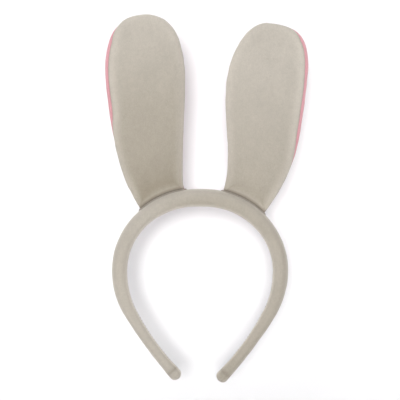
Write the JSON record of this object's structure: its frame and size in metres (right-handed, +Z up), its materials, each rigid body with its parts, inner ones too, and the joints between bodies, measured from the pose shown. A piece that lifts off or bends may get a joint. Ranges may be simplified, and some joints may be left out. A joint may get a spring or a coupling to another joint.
{
  "type": "animal ears headband",
  "caption": "Padded velour headband with two tall soft animal ears, grey behind and pink in front, on a springy curved band.",
  "frame": {"origin": "inner face at the middle of the crown, where the band rests on the head", "axes": "+Z up along the ears as worn, +X to the wearer's right, +Y towards the wearer's front, the side of the pink ear panels"},
  "size_m": [0.1624, 0.0214, 0.2948],
  "materials": {
    "grey_velour": "matte",
    "pink_velour": "matte",
    "cream_foam": "matte",
    "white_wadding": "matte",
    "white_plastic": "satin",
    "steel_wire": "satin",
    "grey_thread": "matte"
  },
  "bodies": {
    "crown": {"crown_core": "white_plastic", "crown_foam": "cream_foam", "crown_cover": "grey_velour", "crown_seam_thread": "grey_thread", "left_ear_stitching": "grey_thread", "right_ear_stitching": "grey_thread"},
    "left_leg": {"left_leg_core": "white_plastic", "left_leg_foam": "cream_foam", "left_leg_cover": "grey_velour", "left_leg_seam_thread": "grey_thread", "left_tip_stitching": "grey_thread"},
    "left_ear": {"left_ear_back_panel": "grey_velour", "left_ear_front_panel": "pink_velour", "left_ear_padding": "white_wadding", "left_ear_wire": "steel_wire"},
    "right_leg": {"right_leg_core": "white_plastic", "right_leg_foam": "cream_foam", "right_leg_cover": "grey_velour", "right_leg_seam_thread": "grey_thread", "right_tip_stitching": "grey_thread"},
    "right_ear": {"right_ear_back_panel": "grey_velour", "right_ear_front_panel": "pink_velour", "right_ear_padding": "white_wadding", "right_ear_wire": "steel_wire"}
  },
  "joints": [
    {"name": "left_leg_flex", "type": "hinge", "parent": "crown", "child": "left_leg", "pos_m": [-0.05915, 0, -0.01529], "axis": [0, 1, 0], "range_deg": [0, 30], "stiffness_Nm_per_rad": 0.5},
    {"name": "right_leg_flex", "type": "hinge", "parent": "crown", "child": "right_leg", "pos_m": [0.05915, 0, -0.01529], "axis": [0, -1, 0], "range_deg": [0, 30], "stiffness_Nm_per_rad": 0.5},
    {"name": "left_ear_tilt", "type": "hinge", "parent": "crown", "child": "left_ear", "pos_m": [-0.03184, 0, 0.01319], "axis": [-0.9234, 0, -0.3839], "range_deg": [-60, 60]},
    {"name": "right_ear_tilt", "type": "hinge", "parent": "crown", "child": "right_ear", "pos_m": [0.03784, 0, 0.0103], "axis": [-0.8858, 0, 0.4641], "range_deg": [-60, 60]}
  ]
}
